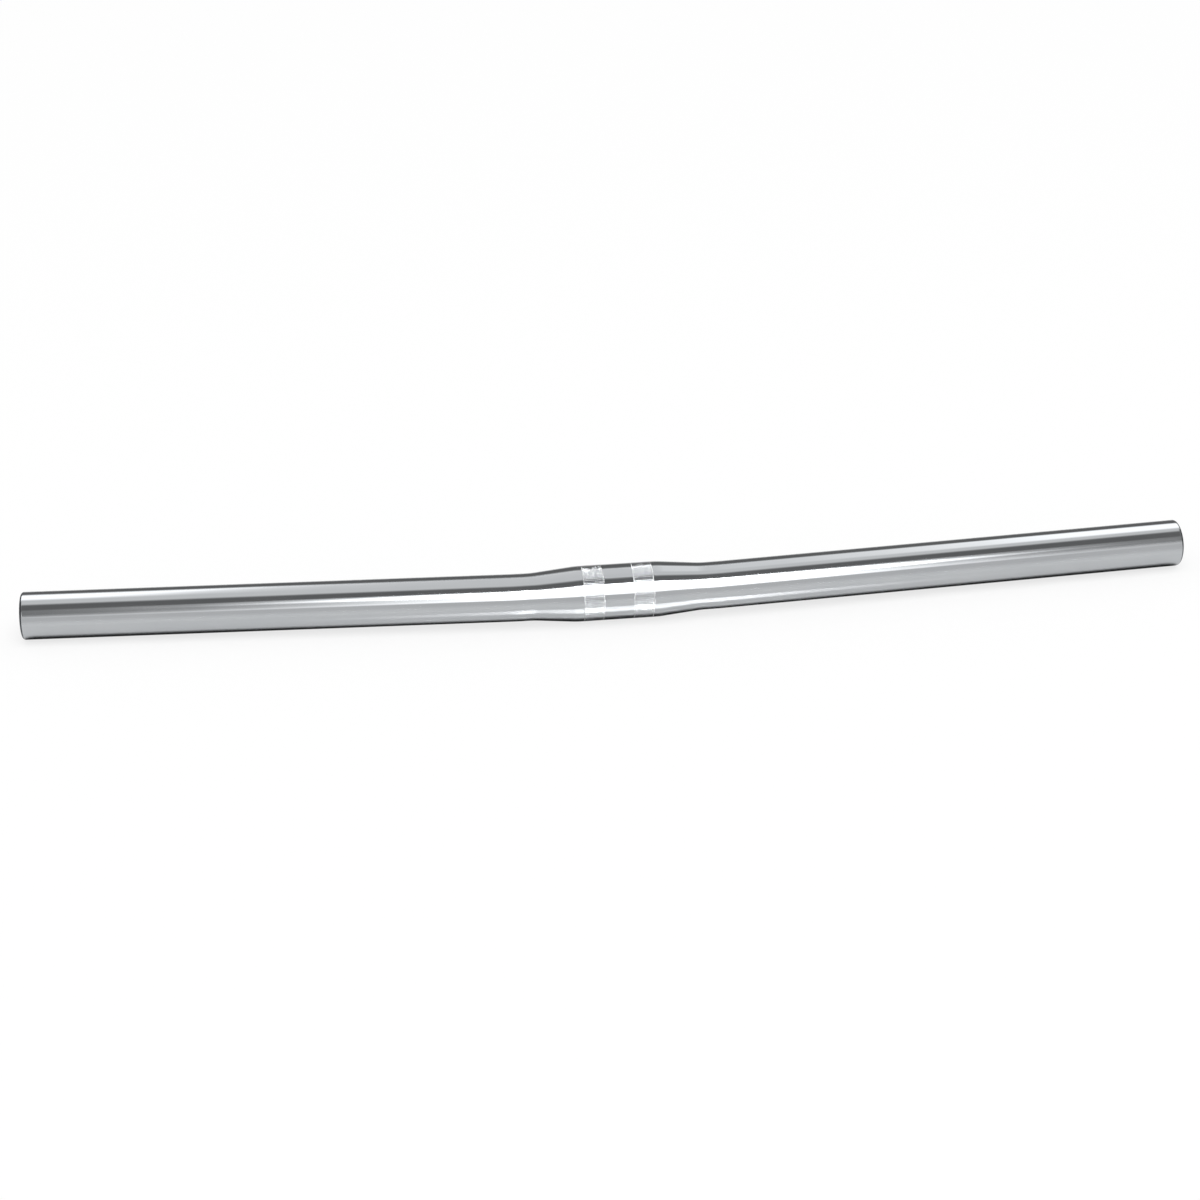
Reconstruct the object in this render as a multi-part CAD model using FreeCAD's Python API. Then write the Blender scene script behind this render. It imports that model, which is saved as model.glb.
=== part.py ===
import FreeCAD, Part
import math
import os

# Flat handlebar: one aluminium tube, swelled at the middle where the stem clamps it, with two knurled
# bands on the swell and an arm on each side that sweeps back to the rider.
# Millimetres. The origin is on the clamp axis at the middle of the bar. +X runs along the clamp axis,
# +Y points to the rider and +Z up. The bar lies as it comes to rest, on its swell and on both ends.

# Whole bar
overall_width = 550.0          # between the middles of the two end faces
sweep_deg = 4.0                # back-sweep of each arm from the clamp axis
bend_radius = 120.0            # on the bar's own axis

# Tube
grip_diameter = 22.2
wall_thickness = 2.2
end_edge_radius = 1.4          # outer edge of each end
mouth_chamfer = 0.4            # inner edge of each end

# Swell for the stem
clamp_diameter = 26.0
clamp_length = 34.0            # the part at full diameter
shoulder_length = 25.0         # from full diameter down to the grip diameter, each side
shoulder_round = 50.0          # radius that leads into and out of each shoulder's cone

# Knurled bands on the swell
knurl_band_width = 10.0
knurl_band_gap = 13.4          # plain strip between the two bands
knurl_groove_count = 90        # round the bar
knurl_groove_width = 0.4
knurl_groove_depth = 0.15

# Sizes that follow
grip_r = grip_diameter / 2
clamp_r = clamp_diameter / 2
bore_r = grip_r - wall_thickness
sweep = math.radians(sweep_deg)
swell_half = clamp_length / 2 + shoulder_length
bend_run = bend_radius * math.sin(sweep)
bend_set_back = bend_radius * (1 - math.cos(sweep))
arm_length = (overall_width / 2 - swell_half - bend_run) / math.cos(sweep)
tip_set_back = bend_set_back + arm_length * math.sin(sweep)
rest_roll_deg = math.degrees(math.asin((clamp_r - grip_r) / tip_set_back))

origin = FreeCAD.Vector(0, 0, 0)
x_axis = FreeCAD.Vector(1, 0, 0)
z_axis = FreeCAD.Vector(0, 0, 1)


def point(x, r):
    """A point of a half section: x along the bar's axis, r out from it."""
    return FreeCAD.Vector(x, r, 0)


def lathe(edges):
    """The solid that a closed half section makes when it is turned about the X axis."""
    return Part.Face(Part.Wire(edges)).revolve(origin, x_axis, 360)


def shoulder(side, inset):
    """The cone from the clamp radius to the grip radius, rounded into both, moved in by inset."""
    drop = clamp_r - grip_r
    widest_round = (shoulder_length ** 2 + drop ** 2) / (4 * drop)
    arc_r = min(shoulder_round, 0.95 * widest_round)
    rise = 2 * arc_r - drop
    slope = math.asin(2 * arc_r / math.hypot(shoulder_length, rise)) - math.atan2(rise, shoulder_length)

    def crown(angle):
        reach = arc_r - inset
        x = clamp_length / 2 + reach * math.sin(angle)
        return point(side * x, clamp_r - arc_r + reach * math.cos(angle))

    def foot(angle):
        reach = arc_r + inset
        x = swell_half - reach * math.sin(angle)
        return point(side * x, grip_r + arc_r - reach * math.cos(angle))

    upper = Part.Arc(crown(0), crown(slope / 2), crown(slope)).toShape()
    cone = Part.makeLine(crown(slope), foot(slope))
    lower = Part.Arc(foot(slope), foot(slope / 2), foot(0)).toShape()
    return [upper, cone, lower]


def swell_line(inset):
    """The swell's side line from its left end to its right end, moved in by inset."""
    crown_r = clamp_r - inset
    flat = Part.makeLine(point(-clamp_length / 2, crown_r), point(clamp_length / 2, crown_r))
    return shoulder(-1, inset) + [flat] + shoulder(1, inset)


def swell():
    """The swelled middle of the tube, with the same wall all along."""
    left = Part.makeLine(point(-swell_half, bore_r), point(-swell_half, grip_r))
    right = Part.makeLine(point(swell_half, bore_r), point(swell_half, grip_r))
    edges = swell_line(0) + swell_line(wall_thickness) + [left, right]
    return lathe(Part.sortEdges(edges)[0])


def bend():
    """The short bend that leads out of the swell, turned about an upright axis on the rider's side."""
    start = FreeCAD.Vector(swell_half, 0, 0)
    outer = Part.Wire(Part.makeCircle(grip_r, start, x_axis))
    inner = Part.Wire(Part.makeCircle(bore_r, start, x_axis))
    ring = Part.Face(outer).cut(Part.Face(inner)).Faces[0]
    return ring.revolve(FreeCAD.Vector(swell_half, bend_radius, 0), z_axis, sweep_deg)


def arm():
    """The straight arm from the bend to the open end, with a round outer edge and a chamfered mouth."""
    shoulder_x = arm_length - end_edge_radius
    knee = end_edge_radius * math.sqrt(0.5)
    edge_mid = point(shoulder_x + knee, grip_r - end_edge_radius + knee)
    side_end = point(shoulder_x, grip_r)
    face_top = point(arm_length, grip_r - end_edge_radius)
    face_foot = point(arm_length, bore_r + mouth_chamfer)
    bore_end = point(arm_length - mouth_chamfer, bore_r)
    edges = [
        Part.makeLine(point(0, bore_r), point(0, grip_r)),
        Part.makeLine(point(0, grip_r), side_end),
        Part.Arc(side_end, edge_mid, face_top).toShape(),
        Part.makeLine(face_top, face_foot),
        Part.makeLine(face_foot, bore_end),
        Part.makeLine(bore_end, point(0, bore_r)),
    ]
    tube = lathe(edges)
    tube.rotate(origin, z_axis, sweep_deg)
    tube.translate(FreeCAD.Vector(swell_half + bend_run, bend_set_back, 0))
    return tube


def bent_tube():
    """The plain tube: the swell, and a bend and an arm on each side of it."""
    right_side = [bend(), arm()]
    left_side = [piece.mirror(origin, x_axis) for piece in right_side]
    return swell().multiFuse(right_side + left_side).removeSplitter()


def knurl_grooves():
    """The V grooves of both bands, each one along the bar, set out evenly round it."""
    flare = 2.0
    top_z = clamp_r - knurl_groove_depth + flare * knurl_groove_depth
    half_top = flare * knurl_groove_width / 2
    grooves = []
    for side in (-1, 1):
        near_x = side * (knurl_band_gap / 2 + knurl_band_width / 2) - knurl_band_width / 2
        corners = [
            FreeCAD.Vector(near_x, 0, clamp_r - knurl_groove_depth),
            FreeCAD.Vector(near_x, half_top, top_z),
            FreeCAD.Vector(near_x, -half_top, top_z),
        ]
        section = Part.Face(Part.makePolygon(corners + corners[:1]))
        first = section.extrude(FreeCAD.Vector(knurl_band_width, 0, 0))
        for step in range(knurl_groove_count):
            groove = first.copy()
            groove.rotate(origin, x_axis, 360.0 * step / knurl_groove_count)
            grooves.append(groove)
    return grooves


def handlebar():
    """The finished bar, rolled so that its swell and both ends touch the ground."""
    bar = bent_tube().cut(knurl_grooves())
    bar.rotate(origin, x_axis, -rest_roll_deg)
    return bar


os.makedirs("parts", exist_ok=True)
handlebar().exportStep("parts/handlebar.step")
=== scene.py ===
import math

import bpy
from mathutils import Matrix, Vector


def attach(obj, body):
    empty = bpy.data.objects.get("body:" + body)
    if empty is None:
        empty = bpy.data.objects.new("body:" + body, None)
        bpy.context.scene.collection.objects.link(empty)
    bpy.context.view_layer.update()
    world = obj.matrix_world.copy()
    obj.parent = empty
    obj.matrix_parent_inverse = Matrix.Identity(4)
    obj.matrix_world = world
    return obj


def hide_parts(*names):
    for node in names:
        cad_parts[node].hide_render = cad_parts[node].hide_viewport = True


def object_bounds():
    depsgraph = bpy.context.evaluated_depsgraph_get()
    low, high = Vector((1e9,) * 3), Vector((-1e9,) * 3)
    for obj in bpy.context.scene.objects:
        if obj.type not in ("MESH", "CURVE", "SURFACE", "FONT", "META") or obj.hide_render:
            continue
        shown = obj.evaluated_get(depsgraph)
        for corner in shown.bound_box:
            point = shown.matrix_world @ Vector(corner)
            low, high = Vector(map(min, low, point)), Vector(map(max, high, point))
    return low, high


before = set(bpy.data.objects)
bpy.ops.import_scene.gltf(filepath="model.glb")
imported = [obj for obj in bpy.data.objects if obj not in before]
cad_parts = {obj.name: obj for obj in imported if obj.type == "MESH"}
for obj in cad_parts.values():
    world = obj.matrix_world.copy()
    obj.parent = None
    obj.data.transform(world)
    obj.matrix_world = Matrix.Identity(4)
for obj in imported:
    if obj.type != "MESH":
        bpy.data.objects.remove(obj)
cad_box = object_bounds()

# Sizes of the bar, in metres, in the same frame as the solids
MM = 0.001
overall_width = 550 * MM
sweep = math.radians(4)
bend_radius = 120 * MM
grip_radius = 11.1 * MM
wall = 2.2 * MM
end_edge_radius = 1.4 * MM
mouth_chamfer = 0.4 * MM
clamp_radius = 13.0 * MM
clamp_length = 34 * MM
shoulder_length = 25 * MM
shoulder_round = 50 * MM
band_width = 10 * MM
band_gap = 13.4 * MM
groove_count = 90
groove_depth = 0.013 * MM      # shallow, so that the bands stay pale; the finish adds the grooves' feet
groove_run_out = 1.0 * MM

# How finely the tube is meshed
arc_steps = 8                  # along each rounded part of the half section
bend_rows = 8                  # along each bend
points_per_groove = 5          # round the bar
bend_guard = 0.4 * MM          # one more row, this far behind each bend, keeps the arm's shading straight
end_guard = 0.3 * MM           # and one this far before the edges of each end
merge_distance = 0.01 * MM
least_knurl = 0.01             # a face whose mask is under this is shaded smooth

# What follows from the sizes
swell_half = clamp_length / 2 + shoulder_length
bend_length = bend_radius * sweep
bend_run = bend_radius * math.sin(sweep)
bend_set_back = bend_radius * (1 - math.cos(sweep))
arm_length = (overall_width / 2 - swell_half - bend_run) / math.cos(sweep)
tube_half = swell_half + bend_length + arm_length
tip_set_back = bend_set_back + arm_length * math.sin(sweep)
rest_roll = math.asin((clamp_radius - grip_radius) / tip_set_back)
groove_pitch = math.tau * clamp_radius / groove_count
floor_z = cad_box[0][2]

# The camera, level, left of the middle and looking down on the bar
camera_place = Vector((-160.7, -1179.7, 677.8)) * MM
camera_heading = math.radians(-7.389)
camera_pitch = math.radians(29.823)
camera_lens_mm = 87.86

# Sockets of a colour Mix node, by number, because its sockets of other kinds have the same names
MIX_FACTOR = 0
MIX_FIRST = 6
MIX_SECOND = 7
MIX_RESULT = 2


def linear(hex_colour):
    """An sRGB hex colour as linear RGBA."""
    parts = [int(hex_colour[i:i + 2], 16) / 255 for i in (1, 3, 5)]
    return [c / 12.92 if c <= 0.04045 else ((c + 0.055) / 1.055) ** 2.4 for c in parts] + [1.0]


def add_node(tree, kind, links, **settings):
    """Adds a node to a tree. settings are its own properties, and links its inputs, each a socket or a
    value."""
    new = tree.nodes.new(kind)
    for name, value in settings.items():
        setattr(new, name, value)
    for name, value in links.items():
        if isinstance(value, bpy.types.NodeSocket):
            tree.links.new(value, new.inputs[name])
        else:
            new.inputs[name].default_value = value
    return new


# The tube


def side_line(inset, finish):
    """Points (x, r, knurl) of one side line of the straight tube, from the left end to the right, moved in
    by inset. finish holds the points of the right end that round it off or chamfer it."""
    rise = 2 * shoulder_round - (clamp_radius - grip_radius)
    spread = math.hypot(shoulder_length, rise)
    slope = math.asin(2 * shoulder_round / spread) - math.atan2(rise, shoulder_length)
    band_start = band_gap / 2
    band_end = band_start + band_width
    right = []
    if inset == 0:
        right = [
            (band_start, clamp_radius, 0.0),
            (band_start + groove_run_out, clamp_radius, 1.0),
            (band_end - groove_run_out, clamp_radius, 1.0),
            (band_end, clamp_radius, 0.0),
        ]
    for i in range(arc_steps + 1):
        angle = slope * i / arc_steps
        reach = shoulder_round - inset
        x = clamp_length / 2 + reach * math.sin(angle)
        right.append((x, clamp_radius - shoulder_round + reach * math.cos(angle), 0.0))
    for i in range(arc_steps + 1):
        angle = slope * (1 - i / arc_steps)
        reach = shoulder_round + inset
        x = swell_half - reach * math.sin(angle)
        right.append((x, grip_radius + shoulder_round - reach * math.cos(angle), 0.0))
    bend_x = [swell_half + bend_length * i / bend_rows for i in range(1, bend_rows + 1)]
    bend_x.append(swell_half + bend_length + bend_guard)
    right += [(x, grip_radius - inset, 0.0) for x in bend_x]
    right += finish
    left = [(-x, r, knurl) for x, r, knurl in reversed(right)]
    return left + right


def tube_section():
    """The closed half section of the straight tube: its outer side line, then its inner one back."""
    corner_x = tube_half - end_edge_radius
    corner_r = grip_radius - end_edge_radius
    bore_radius = grip_radius - wall
    rounded = [(corner_x - end_guard, grip_radius, 0.0)]
    for i in range(arc_steps + 1):
        angle = math.pi / 2 * i / arc_steps
        x = corner_x + end_edge_radius * math.sin(angle)
        rounded.append((x, corner_r + end_edge_radius * math.cos(angle), 0.0))
    chamfered = [
        (tube_half - mouth_chamfer - end_guard, bore_radius, 0.0),
        (tube_half - mouth_chamfer, bore_radius, 0.0),
        (tube_half, bore_radius + mouth_chamfer, 0.0),
    ]
    # The knurl mask is 0 on plain metal, 1 on the knurl and -1 inside the bore
    inside = [(x, r, 0.0 if abs(x) == tube_half else -1.0) for x, r, _ in side_line(wall, chamfered)]
    return side_line(0, rounded) + list(reversed(inside))


def tube_tree(loop_count):
    """Turns the half section, a loop of loop_count points, about X, presses the knurl in, bends both arms
    back and rolls the bar to rest."""
    tree = bpy.data.node_groups.new("Bent tube", "GeometryNodeTree")
    sockets = tree.interface
    sockets.new_socket("Half section", in_out="INPUT", socket_type="NodeSocketGeometry")
    for name in ("Ring points", "Grooves"):
        sockets.new_socket(name, in_out="INPUT", socket_type="NodeSocketInt")
    for name in ("Groove depth", "Swell half", "Bend radius", "Sweep", "Roll"):
        sockets.new_socket(name, in_out="INPUT", socket_type="NodeSocketFloat")
    sockets.new_socket("Metal", in_out="INPUT", socket_type="NodeSocketMaterial")
    sockets.new_socket("Tube", in_out="OUTPUT", socket_type="NodeSocketGeometry")
    given = add_node(tree, "NodeGroupInput", {}).outputs

    # A grid with a row for each point of the half section and a line for each step round the bar
    ring_lines = add_node(tree, "ShaderNodeMath", {0: given["Ring points"], 1: 1.0},
                          operation="ADD").outputs[0]
    grid = add_node(tree, "GeometryNodeMeshGrid",
                    {"Vertices X": loop_count + 1, "Vertices Y": ring_lines}).outputs
    place = add_node(tree, "ShaderNodeSeparateXYZ", {0: grid["UV Map"]}).outputs
    row = add_node(tree, "ShaderNodeMath", {0: place["X"], 1: float(loop_count)},
                   operation="MULTIPLY").outputs[0]
    row = add_node(tree, "ShaderNodeMath", {0: row}, operation="ROUND").outputs[0]
    row = add_node(tree, "ShaderNodeMath", {0: row, 1: float(loop_count)}, operation="MODULO").outputs[0]
    spot = add_node(tree, "GeometryNodeInputPosition", {}).outputs[0]
    spot = add_node(tree, "GeometryNodeSampleIndex",
                    {"Geometry": given["Half section"], "Value": spot, "Index": row},
                    data_type="FLOAT_VECTOR").outputs[0]
    spot = add_node(tree, "ShaderNodeSeparateXYZ", {0: spot}).outputs
    knurl = add_node(tree, "GeometryNodeInputNamedAttribute", {"Name": "knurl"},
                     data_type="FLOAT").outputs[0]
    knurl = add_node(tree, "GeometryNodeSampleIndex",
                     {"Geometry": given["Half section"], "Value": knurl, "Index": row},
                     data_type="FLOAT").outputs[0]

    # A groove's foot is every few ring points; the points between keep the full radius
    line = add_node(tree, "ShaderNodeMath", {0: place["Y"], 1: given["Ring points"]},
                    operation="MULTIPLY").outputs[0]
    line = add_node(tree, "ShaderNodeMath", {0: line}, operation="ROUND").outputs[0]
    pitch = add_node(tree, "ShaderNodeMath", {0: given["Ring points"], 1: given["Grooves"]},
                     operation="DIVIDE").outputs[0]
    foot = add_node(tree, "ShaderNodeMath", {0: line, 1: pitch}, operation="MODULO").outputs[0]
    foot = add_node(tree, "ShaderNodeMath", {0: foot, 1: 0.5}, operation="LESS_THAN").outputs[0]
    cut = add_node(tree, "ShaderNodeMath", {0: knurl, 1: 0.0}, operation="MAXIMUM").outputs[0]
    cut = add_node(tree, "ShaderNodeMath", {0: cut, 1: foot}, operation="MULTIPLY").outputs[0]
    cut = add_node(tree, "ShaderNodeMath", {0: cut, 1: given["Groove depth"]},
                   operation="MULTIPLY").outputs[0]
    reach = add_node(tree, "ShaderNodeMath", {0: spot["Z"], 1: cut}, operation="SUBTRACT").outputs[0]
    angle = add_node(tree, "ShaderNodeMath", {0: place["Y"], 1: math.tau}, operation="MULTIPLY").outputs[0]

    # The bend: what lies past the swell turns about an upright axis, then runs on straight
    along = add_node(tree, "ShaderNodeMath", {0: spot["X"]}, operation="ABSOLUTE").outputs[0]
    side = add_node(tree, "ShaderNodeMath", {0: spot["X"]}, operation="SIGN").outputs[0]
    straight = add_node(tree, "ShaderNodeMath", {0: along, 1: given["Swell half"]},
                        operation="MINIMUM").outputs[0]
    past = add_node(tree, "ShaderNodeMath", {0: along, 1: straight}, operation="SUBTRACT").outputs[0]
    turn = add_node(tree, "ShaderNodeMath", {0: past, 1: given["Bend radius"]},
                    operation="DIVIDE").outputs[0]
    turn = add_node(tree, "ShaderNodeMath", {0: turn, 1: given["Sweep"]}, operation="MINIMUM").outputs[0]
    bent = add_node(tree, "ShaderNodeMath", {0: turn, 1: given["Bend radius"]},
                    operation="MULTIPLY").outputs[0]
    run = add_node(tree, "ShaderNodeMath", {0: past, 1: bent}, operation="SUBTRACT").outputs[0]
    ring = add_node(tree, "ShaderNodeCombineXYZ", {"Z": reach}).outputs[0]
    ring = add_node(tree, "ShaderNodeVectorRotate", {"Vector": ring, "Angle": angle},
                    rotation_type="X_AXIS").outputs[0]
    middle = add_node(tree, "ShaderNodeCombineXYZ", {"X": straight}).outputs[0]
    ring = add_node(tree, "ShaderNodeVectorMath", {0: ring, 1: middle}, operation="ADD").outputs[0]
    pivot = add_node(tree, "ShaderNodeCombineXYZ",
                     {"X": given["Swell half"], "Y": given["Bend radius"]}).outputs[0]
    ring = add_node(tree, "ShaderNodeVectorRotate", {"Vector": ring, "Center": pivot, "Angle": turn},
                    rotation_type="Z_AXIS").outputs[0]
    ahead = add_node(tree, "ShaderNodeCombineXYZ", {"X": run}).outputs[0]
    ahead = add_node(tree, "ShaderNodeVectorRotate", {"Vector": ahead, "Angle": turn},
                     rotation_type="Z_AXIS").outputs[0]
    ring = add_node(tree, "ShaderNodeVectorMath", {0: ring, 1: ahead}, operation="ADD").outputs[0]
    mirror = add_node(tree, "ShaderNodeCombineXYZ", {"X": side, "Y": 1.0, "Z": 1.0}).outputs[0]
    ring = add_node(tree, "ShaderNodeVectorMath", {0: ring, 1: mirror}, operation="MULTIPLY").outputs[0]
    back = add_node(tree, "ShaderNodeMath", {0: given["Roll"], 1: -1.0}, operation="MULTIPLY").outputs[0]
    ring = add_node(tree, "ShaderNodeVectorRotate", {"Vector": ring, "Angle": back},
                    rotation_type="X_AXIS").outputs[0]

    # The wrap for the finish: U along the bar in metres, V once round it
    wrap = add_node(tree, "ShaderNodeCombineXYZ", {"X": spot["X"], "Y": place["Y"]}).outputs[0]
    shape = add_node(tree, "GeometryNodeStoreNamedAttribute",
                     {"Geometry": grid["Mesh"], "Name": "wrap", "Value": wrap},
                     data_type="FLOAT2", domain="CORNER").outputs[0]
    shape = add_node(tree, "GeometryNodeStoreNamedAttribute",
                     {"Geometry": shape, "Name": "knurl", "Value": knurl},
                     data_type="FLOAT", domain="POINT").outputs[0]

    # The merge closes the grid's two seams, and the knurl keeps its sharp edges
    shape = add_node(tree, "GeometryNodeSetPosition", {"Geometry": shape, "Position": ring}).outputs[0]
    shape = add_node(tree, "GeometryNodeMergeByDistance",
                     {"Geometry": shape, "Distance": merge_distance}).outputs[0]
    smooth = add_node(tree, "GeometryNodeInputNamedAttribute", {"Name": "knurl"},
                      data_type="FLOAT").outputs[0]
    smooth = add_node(tree, "FunctionNodeCompare", {"A": smooth, "B": least_knurl},
                      operation="LESS_THAN").outputs[0]
    shape = add_node(tree, "GeometryNodeSetShadeSmooth",
                     {"Geometry": shape, "Shade Smooth": smooth}).outputs[0]
    shape = add_node(tree, "GeometryNodeRealizeInstances", {"Geometry": shape}).outputs[0]
    shape = add_node(tree, "GeometryNodeSetMaterial",
                     {"Geometry": shape, "Material": given["Metal"]}).outputs[0]
    add_node(tree, "NodeGroupOutput", {"Tube": shape})
    return tree


def tube_piece(metal):
    """The whole bar as one fine mesh."""
    section = tube_section()
    count = len(section)
    points = [(x, 0, r) for x, r, _ in section]
    edges = [(i, (i + 1) % count) for i in range(count)]
    outline = bpy.data.meshes.new("half_section")
    outline.from_pydata(points, edges, [])
    mask = outline.attributes.new("knurl", "FLOAT", "POINT")
    mask.data.foreach_set("value", [knurl for _, _, knurl in section])
    maker = bpy.data.objects.new("tube_maker", outline)
    bpy.context.scene.collection.objects.link(maker)
    tree = tube_tree(count)
    modifier = maker.modifiers.new("Bent tube", "NODES")
    modifier.node_group = tree
    values = {
        "Ring points": groove_count * points_per_groove,
        "Grooves": groove_count,
        "Groove depth": groove_depth,
        "Swell half": swell_half,
        "Bend radius": bend_radius,
        "Sweep": sweep,
        "Roll": rest_roll,
        "Metal": metal,
    }
    for item in tree.interface.items_tree:
        if item.item_type == "SOCKET" and item.in_out == "INPUT" and item.name in values:
            modifier[item.identifier] = values[item.name]
    evaluated = maker.evaluated_get(bpy.context.evaluated_depsgraph_get())
    mesh = bpy.data.meshes.new_from_object(evaluated)
    maker.modifiers.remove(modifier)
    bpy.data.objects.remove(maker)
    mesh.name = "bar_tube"
    piece = bpy.data.objects.new("bar_tube", mesh)
    bpy.context.scene.collection.objects.link(piece)
    return piece


# Finishes


def polished_aluminium():
    """Aluminium tube, turned against a polishing belt and clear-anodised: a bright, slightly cool mirror, a
    little softer along the bar than round it, with faint rings left by the belt. The knurl is pressed in
    afterwards, so its grooves and the lands between them are duller, and the burrs along the sides of its
    bands are rougher and carry a paler colour, a painted glint. The ends are cut and turned but not
    polished, so they are duller, and their darker colour is a painted dark reflection. The bore is as
    drawn, matt and grey."""
    smear_length = 30 * MM
    smear_width = 8 * MM
    ring_spacing = 0.7 * MM
    ring_reach = 40 * MM
    ring_height = 0.0008 * MM
    press_spacing = 2 * MM
    turned_and_painted_dark_from = tube_half - 1.05 * MM
    turned_and_painted_dark_full = tube_half - 0.9 * MM
    knurl_dullness = 0.06

    metal = bpy.data.materials.new("polished_aluminium")
    metal.use_nodes = True
    tree = metal.node_tree
    shader = tree.nodes["Principled BSDF"]
    shader.inputs["Metallic"].default_value = 1.0
    shader.inputs["Anisotropic"].default_value = 0.5
    spot = add_node(tree, "ShaderNodeTexCoord", {}).outputs["Object"]
    wrap = add_node(tree, "ShaderNodeUVMap", {}, uv_map="wrap").outputs[0]
    wrap = add_node(tree, "ShaderNodeSeparateXYZ", {0: wrap}).outputs
    mask = add_node(tree, "ShaderNodeAttribute", {}, attribute_name="knurl").outputs["Fac"]
    knurl = add_node(tree, "ShaderNodeMapRange", {"Value": mask}).outputs[0]
    bore = add_node(tree, "ShaderNodeMapRange", {"Value": mask, "From Max": -1.0}).outputs[0]
    tangent = add_node(tree, "ShaderNodeTangent", {}, direction_type="UV_MAP", uv_map="wrap").outputs[0]
    tree.links.new(tangent, shader.inputs["Tangent"])

    # Handling marks, some 30 mm long and 8 mm wide, which dull the polish a little here and there
    smear = add_node(tree, "ShaderNodeVectorMath",
                     {0: spot, 1: (1 / smear_length, 1 / smear_width, 1 / smear_width)},
                     operation="MULTIPLY").outputs[0]
    smear = add_node(tree, "ShaderNodeTexNoise",
                     {"Vector": smear, "Scale": 1.0, "Detail": 3.0}).outputs["Fac"]
    colour = add_node(tree, "ShaderNodeMix",
                      {MIX_FACTOR: smear, MIX_FIRST: linear("#B8BBBE"), MIX_SECOND: linear("#C1C3C5")},
                      data_type="RGBA").outputs[MIX_RESULT]
    dull = add_node(tree, "ShaderNodeMapRange",
                    {"Value": smear, "From Min": 0.3, "From Max": 0.7,
                     "To Min": 0.07, "To Max": 0.11}).outputs[0]
    dull = add_node(tree, "ShaderNodeMath", {0: knurl, 1: knurl_dullness, 2: dull},
                    operation="MULTIPLY_ADD").outputs[0]

    # Burrs where the grooves run out at the sides of a band; their paler colour below is a painted glint
    burr_and_painted_glint = add_node(tree, "ShaderNodeMath", {0: knurl, 1: 0.5}, operation="PINGPONG").outputs[0]
    burr_and_painted_glint = add_node(tree, "ShaderNodeMapRange",
                    {"Value": burr_and_painted_glint, "From Min": 0.15, "From Max": 0.45}).outputs[0]

    # The cut ends, from where the polish stops on their rounded edges; their dark colour below is a painted
    # dark reflection
    out = add_node(tree, "ShaderNodeMath", {0: wrap["X"]}, operation="ABSOLUTE").outputs[0]
    cut = add_node(tree, "ShaderNodeMapRange",
                   {"Value": out, "From Min": turned_and_painted_dark_from, "From Max": turned_and_painted_dark_full}).outputs[0]

    # The burrs, the cut ends and the bore each get a colour and are duller by so much: the burrs'
    # paler colour is a painted glint, and the cut ends' dark one a painted dark reflection
    for part, part_colour, dullness in (
        (burr_and_painted_glint, "#CACCCE", 0.2),
        (cut, "#4A4D51", 0.1),
        (bore, "#96999C", 0.45),
    ):
        colour = add_node(tree, "ShaderNodeMix",
                          {MIX_FACTOR: part, MIX_FIRST: colour, MIX_SECOND: linear(part_colour)},
                          data_type="RGBA").outputs[MIX_RESULT]
        dull = add_node(tree, "ShaderNodeMath", {0: part, 1: dullness, 2: dull},
                        operation="MULTIPLY_ADD").outputs[0]
    tree.links.new(colour, shader.inputs["Base Color"])
    tree.links.new(dull, shader.inputs["Roughness"])

    # Belt rings: really about 0.1 mm apart, drawn 0.7 mm apart so that a picture can hold them
    rings = add_node(tree, "ShaderNodeVectorMath",
                     {0: spot, 1: (1 / ring_spacing, 1 / ring_reach, 1 / ring_reach)},
                     operation="MULTIPLY").outputs[0]
    rings = add_node(tree, "ShaderNodeTexNoise",
                     {"Vector": rings, "Scale": 1.0, "Detail": 1.0}).outputs["Fac"]
    relief = add_node(tree, "ShaderNodeBump",
                      {"Strength": 1.0, "Distance": ring_height, "Height": rings}).outputs[0]

    # The rounded feet of the knurl's grooves: 0.1 to 0.2 mm wide, with sides of up to 60 degrees and no
    # two alike. Their half width and depth are shares of the pitch
    turn = add_node(tree, "ShaderNodeMath", {0: wrap["Y"], 1: float(groove_count)},
                    operation="MULTIPLY").outputs[0]
    off = add_node(tree, "ShaderNodeMath", {0: turn, 1: 0.5}, operation="PINGPONG").outputs[0]
    which = add_node(tree, "ShaderNodeMath", {0: turn}, operation="ROUND").outputs[0]
    uneven = add_node(tree, "ShaderNodeTexWhiteNoise", {"W": which}, noise_dimensions="1D").outputs["Value"]
    half = add_node(tree, "ShaderNodeMapRange",
                    {"Value": uneven, "To Min": 0.05, "To Max": 0.12}).outputs[0]
    deep = add_node(tree, "ShaderNodeMath", {0: half, 1: -1.0}, operation="MULTIPLY").outputs[0]
    foot = add_node(tree, "ShaderNodeMapRange",
                    {"Value": off, "From Max": half, "To Min": deep, "To Max": 0.0},
                    interpolation_type="SMOOTHSTEP").outputs[0]

    # They are pressed unevenly, and run out at the sides of a band
    press = add_node(tree, "ShaderNodeTexNoise",
                     {"Vector": spot, "Scale": 1 / press_spacing, "Detail": 3.0}).outputs["Fac"]
    press = add_node(tree, "ShaderNodeMapRange",
                     {"Value": press, "From Min": 0.35, "From Max": 0.65,
                      "To Min": 0.8, "To Max": 1.2}).outputs[0]
    run_out = add_node(tree, "ShaderNodeMapRange", {"Value": knurl, "From Max": 0.3}).outputs[0]
    press = add_node(tree, "ShaderNodeMath", {0: press, 1: run_out}, operation="MULTIPLY").outputs[0]
    foot = add_node(tree, "ShaderNodeMath", {0: foot, 1: press}, operation="MULTIPLY").outputs[0]
    relief = add_node(tree, "ShaderNodeBump",
                      {"Strength": 1.0, "Distance": groove_pitch, "Filter Width": 0.01,
                       "Height": foot, "Normal": relief}).outputs[0]
    tree.links.new(relief, shader.inputs["Normal"])
    return metal


# The studio


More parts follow.
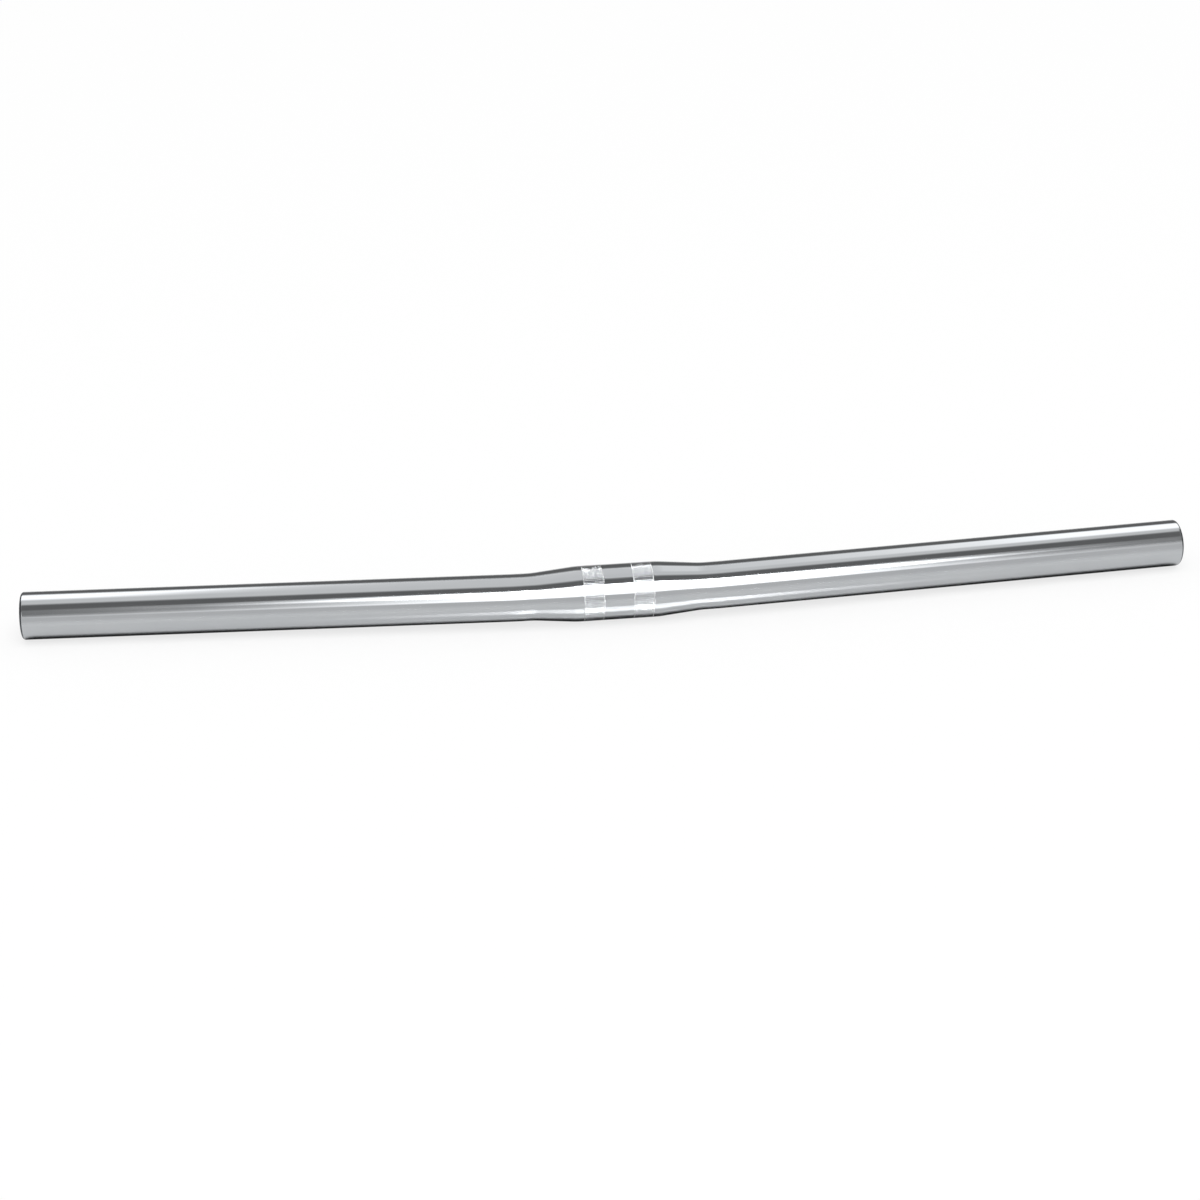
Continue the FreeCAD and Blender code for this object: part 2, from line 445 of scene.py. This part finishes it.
def seen(tree, plain, mirrored):
    """How far a surface is simply white to a ray: by plain to the camera, and by mirrored in metal or
    through glass."""
    path = add_node(tree, "ShaderNodeLightPath", {}).outputs
    mirror = add_node(tree, "ShaderNodeMath", {0: path["Is Glossy Ray"], 1: path["Is Transmission Ray"]},
                      operation="MAXIMUM").outputs[0]
    mirror = add_node(tree, "ShaderNodeMath", {0: mirror, 1: mirrored}, operation="MULTIPLY").outputs[0]
    direct = add_node(tree, "ShaderNodeMath", {0: path["Is Camera Ray"], 1: plain},
                      operation="MULTIPLY").outputs[0]
    return add_node(tree, "ShaderNodeMath", {0: direct, 1: mirror}, operation="MAXIMUM").outputs[0]


def flat_sheet(name, half_width, half_height, z):
    """An object that is one rectangle about the middle, at a height z."""
    corners = [(x * half_width, y * half_height, z) for x, y in ((-1, -1), (1, -1), (1, 1), (-1, 1))]
    mesh = bpy.data.meshes.new(name)
    mesh.from_pydata(corners, [], [(0, 1, 2, 3)])
    sheet = bpy.data.objects.new(name, mesh)
    bpy.context.scene.collection.objects.link(sheet)
    return sheet


def pale_floor():
    """A plain table top, lacquered white and wide enough to fill every view: white to the eye, with the
    bar's soft shadow on it."""
    reach = 6.0
    gloss_level = 0.6
    contact_reach = 7 * MM
    shade_start = 0.66             # how open the table is to the air where its shade by the bar starts
    shade_full = 0.38              # and where it is full
    floor = flat_sheet("floor", reach, reach, floor_z)
    paint = bpy.data.materials.new("white_table")
    paint.use_nodes = True
    tree = paint.node_tree
    shader = tree.nodes["Principled BSDF"]
    shader.inputs["Roughness"].default_value = 0.03
    # In the metal the table also has a gloss, which isn't seen beside the bar, where it would mirror lamps
    # and flags, and in the metal its colour carries a painted contact shadow, dark in the last few
    # millimetres before it meets the bar
    mirrored = add_node(tree, "ShaderNodeLightPath", {}).outputs["Is Glossy Ray"]
    gloss = add_node(tree, "ShaderNodeMath", {0: mirrored, 1: gloss_level}, operation="MULTIPLY").outputs[0]
    tree.links.new(gloss, shader.inputs["Specular IOR Level"])
    painted_contact_shade = add_node(tree, "ShaderNodeAmbientOcclusion", {"Distance": contact_reach}).outputs["AO"]
    painted_contact_shade = add_node(tree, "ShaderNodeMapRange",
                     {"Value": painted_contact_shade, "From Min": shade_start, "From Max": shade_full}).outputs[0]
    painted_contact_shade = add_node(tree, "ShaderNodeMath", {0: painted_contact_shade, 1: mirrored}, operation="MULTIPLY").outputs[0]
    colour = add_node(tree, "ShaderNodeMix",
                      {MIX_FACTOR: painted_contact_shade, MIX_FIRST: linear("#F2F2F2"), MIX_SECOND: linear("#303030")},
                      data_type="RGBA").outputs[MIX_RESULT]
    tree.links.new(colour, shader.inputs["Base Color"])
    white = add_node(tree, "ShaderNodeEmission", {"Color": linear("#FFFFFF"), "Strength": 1.0}).outputs[0]
    whiteness = seen(tree, plain=0.76, mirrored=0.02)
    mixed = add_node(tree, "ShaderNodeMixShader", {0: whiteness, 1: shader.outputs[0], 2: white}).outputs[0]
    tree.links.new(mixed, tree.nodes["Material Output"].inputs["Surface"])
    floor.data.materials.append(paint)


def over(angle_deg, side, distance):
    """A place round the bar: angle from the front horizon over the top to the back, and a step to the
    side."""
    angle = math.radians(angle_deg)
    return Vector((side, -distance * math.cos(angle), distance * math.sin(angle)))


def card(name, angles, sides, distance, strength, soft_angles, soft_side, glow=False, roll=0, turn=0,
         taper=0, mirrors=9):
    """A soft-edged card that only the metal sees, facing the bar. angles is how far it reaches round the
    bar, to where it is half faded, and sides how far along it, to where it starts to die away. soft_angles
    is how wide its lower and upper edges are, and soft_side how fast its two ends die away. roll tips it in
    its own plane, turn swings it round the bar's middle, and taper narrows its two ends. A dark flag covers
    what is behind it, and a glowing panel adds to it. It is gone past a number of mirrors."""
    fade_lengths = 8
    middle = sum(angles) / 2
    half_angle = math.radians(angles[1] - angles[0]) / 2
    tall = distance * math.tan(half_angle)
    wide = (sides[1] - sides[0]) / 2
    lower, upper = [distance * math.radians(soft) / 2 for soft in soft_angles]
    panel = flat_sheet(name, wide + fade_lengths * soft_side, tall + max(lower, upper), 0)
    centre = over(middle, sum(sides) / 2, distance)
    tilt = Matrix.Rotation(math.radians(90 - middle), 4, "X") @ Matrix.Rotation(math.radians(roll), 4, "Z")
    panel.matrix_world = Matrix.Rotation(math.radians(turn), 4, "Z") @ Matrix.Translation(centre) @ tilt
    surface = bpy.data.materials.new(name)
    surface.use_nodes = True
    tree = surface.node_tree
    tree.nodes.remove(tree.nodes["Principled BSDF"])
    spot = add_node(tree, "ShaderNodeTexCoord", {}).outputs["Object"]
    spot = add_node(tree, "ShaderNodeSeparateXYZ", {0: spot}).outputs
    past = add_node(tree, "ShaderNodeMath", {0: spot["X"]}, operation="ABSOLUTE").outputs[0]
    past = add_node(tree, "ShaderNodeMath", {0: past, 1: wide}, operation="SUBTRACT").outputs[0]
    past = add_node(tree, "ShaderNodeMath", {0: past, 1: 0.0}, operation="MAXIMUM").outputs[0]
    cover = add_node(tree, "ShaderNodeMath", {0: past, 1: -soft_side}, operation="DIVIDE").outputs[0]
    cover = add_node(tree, "ShaderNodeMath", {0: cover}, operation="EXPONENT").outputs[0]
    narrow = add_node(tree, "ShaderNodeMath", {0: past, 1: float(taper)}, operation="MULTIPLY").outputs[0]
    for up, soft in ((-1.0, lower), (1.0, upper)):
        rise = add_node(tree, "ShaderNodeMath", {0: spot["Y"], 1: up, 2: narrow},
                        operation="MULTIPLY_ADD").outputs[0]
        fade = add_node(tree, "ShaderNodeMapRange",
                        {"Value": rise, "From Min": tall + soft, "From Max": tall - soft},
                        interpolation_type="SMOOTHSTEP").outputs[0]
        cover = add_node(tree, "ShaderNodeMath", {0: cover, 1: fade}, operation="MULTIPLY").outputs[0]
    # What the metal throws on to the table would only be noise, so a card is gone for such light
    path = add_node(tree, "ShaderNodeLightPath", {}).outputs
    for depth, most in (("Diffuse Depth", 0), ("Glossy Depth", mirrors)):
        near = add_node(tree, "ShaderNodeMath", {0: path[depth], 1: most + 0.5},
                        operation="LESS_THAN").outputs[0]
        cover = add_node(tree, "ShaderNodeMath", {0: cover, 1: near}, operation="MULTIPLY").outputs[0]
    clear = add_node(tree, "ShaderNodeBsdfTransparent", {}).outputs[0]
    light = add_node(tree, "ShaderNodeEmission", {"Color": linear("#FFFFFF"), "Strength": strength})
    if glow:
        level = add_node(tree, "ShaderNodeMath", {0: cover, 1: strength}, operation="MULTIPLY").outputs[0]
        tree.links.new(level, light.inputs["Strength"])
        result = add_node(tree, "ShaderNodeAddShader", {0: clear, 1: light.outputs[0]}).outputs[0]
    else:
        result = add_node(tree, "ShaderNodeMixShader", {0: cover, 1: clear, 2: light.outputs[0]}).outputs[0]
    tree.links.new(result, tree.nodes["Material Output"].inputs["Surface"])
    panel.data.materials.append(surface)
    panel.visible_camera = False
    panel.visible_diffuse = False
    panel.visible_shadow = False


def studio_cards():
    """What the polished tube mirrors besides the table: a grey wall and a dark ceiling in front, with the
    softbox and its lamp's hot middle before them, a dark flag at each side, and behind a low dark flag with
    a bright panel to the left and right. Angles are in degrees, sides and distances in metres."""
    card("softbox", angles=(19, 60), sides=(-0.095, 0.28), distance=0.6, strength=2.0,
         soft_angles=(7, 9), soft_side=0.107, glow=True, roll=4, taper=0.08, mirrors=1)
    card("softbox_middle", angles=(36, 58), sides=(-0.01, 0.206), distance=0.6, strength=30.0,
         soft_angles=(8, 8), soft_side=0.058, glow=True, roll=2, taper=0.4)
    card("front_wall", angles=(-3, 29), sides=(-2.5, 3.0), distance=2.6, strength=0.77,
         soft_angles=(14, 14), soft_side=0.1)
    card("dark_ceiling", angles=(28, 86), sides=(-1.1, 1.65), distance=2.2, strength=0.19,
         soft_angles=(28, 16), soft_side=0.05, roll=8)
    for name, turn in (("left_flag", -82), ("right_flag", 82)):
        card(name, angles=(-1, 60), sides=(-1.2, 1.2), distance=2.3, strength=0.25,
             soft_angles=(8, 14), soft_side=0.1, turn=turn)
    card("rear_flag", angles=(144.5, 183), sides=(-2.6, 2.6), distance=1.7, strength=0.18,
         soft_angles=(14, 12), soft_side=0.1)
    card("rear_left_panel", angles=(115, 151), sides=(-1.6, -0.30), distance=1.6, strength=1.08,
         soft_angles=(18, 18), soft_side=0.07, glow=True, roll=-14)
    card("rear_right_panel", angles=(110, 146), sides=(0.70, 1.8), distance=1.6, strength=1.0,
         soft_angles=(14, 14), soft_side=0.18, glow=True, roll=6)


def lamps():
    """One large soft lamp, high up and a little in front, that lights the table."""
    lamp = bpy.data.lights.new("high_lamp", "AREA")
    lamp.shape = "RECTANGLE"
    lamp.size = 6.0
    lamp.size_y = 5.2
    lamp.energy = 340
    holder = bpy.data.objects.new("high_lamp", lamp)
    holder.location = over(angle_deg=70, side=0.2, distance=8.0)
    holder.rotation_euler = (-holder.location).to_track_quat("-Z", "Y").to_euler()
    holder.visible_camera = False
    holder.visible_glossy = False
    bpy.context.scene.collection.objects.link(holder)


def white_world():
    """White all round for the camera, a shade less for the metal, and a soft grey fill for the table."""
    fill_level = 0.7
    world = bpy.data.worlds.new("studio")
    bpy.context.scene.world = world
    world.use_nodes = True
    tree = world.node_tree
    whiteness = seen(tree, plain=1.0, mirrored=0.95)
    level = add_node(tree, "ShaderNodeMath", {0: whiteness, 1: fill_level}, operation="MAXIMUM").outputs[0]
    back = tree.nodes["Background"]
    back.inputs["Color"].default_value = linear("#FFFFFF")
    tree.links.new(level, back.inputs["Strength"])


def photo_camera():
    """The camera that sees the bar as the photograph does."""
    lens = bpy.data.cameras.new("camera")
    lens.lens = camera_lens_mm
    lens.sensor_width = 36
    lens.clip_start = 0.01
    lens.clip_end = 50
    holder = bpy.data.objects.new("camera", lens)
    holder.location = camera_place
    level = math.cos(camera_pitch)
    ahead = Vector((
        -math.sin(camera_heading) * level,
        math.cos(camera_heading) * level,
        -math.sin(camera_pitch),
    ))
    holder.rotation_euler = ahead.to_track_quat("-Z", "Y").to_euler()
    bpy.context.scene.collection.objects.link(holder)
    bpy.context.scene.camera = holder


bpy.context.scene.view_settings.view_transform = "Standard"
bar = tube_piece(polished_aluminium())
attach(bar, "root")
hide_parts("handlebar")
pale_floor()
studio_cards()
lamps()
white_world()
photo_camera()
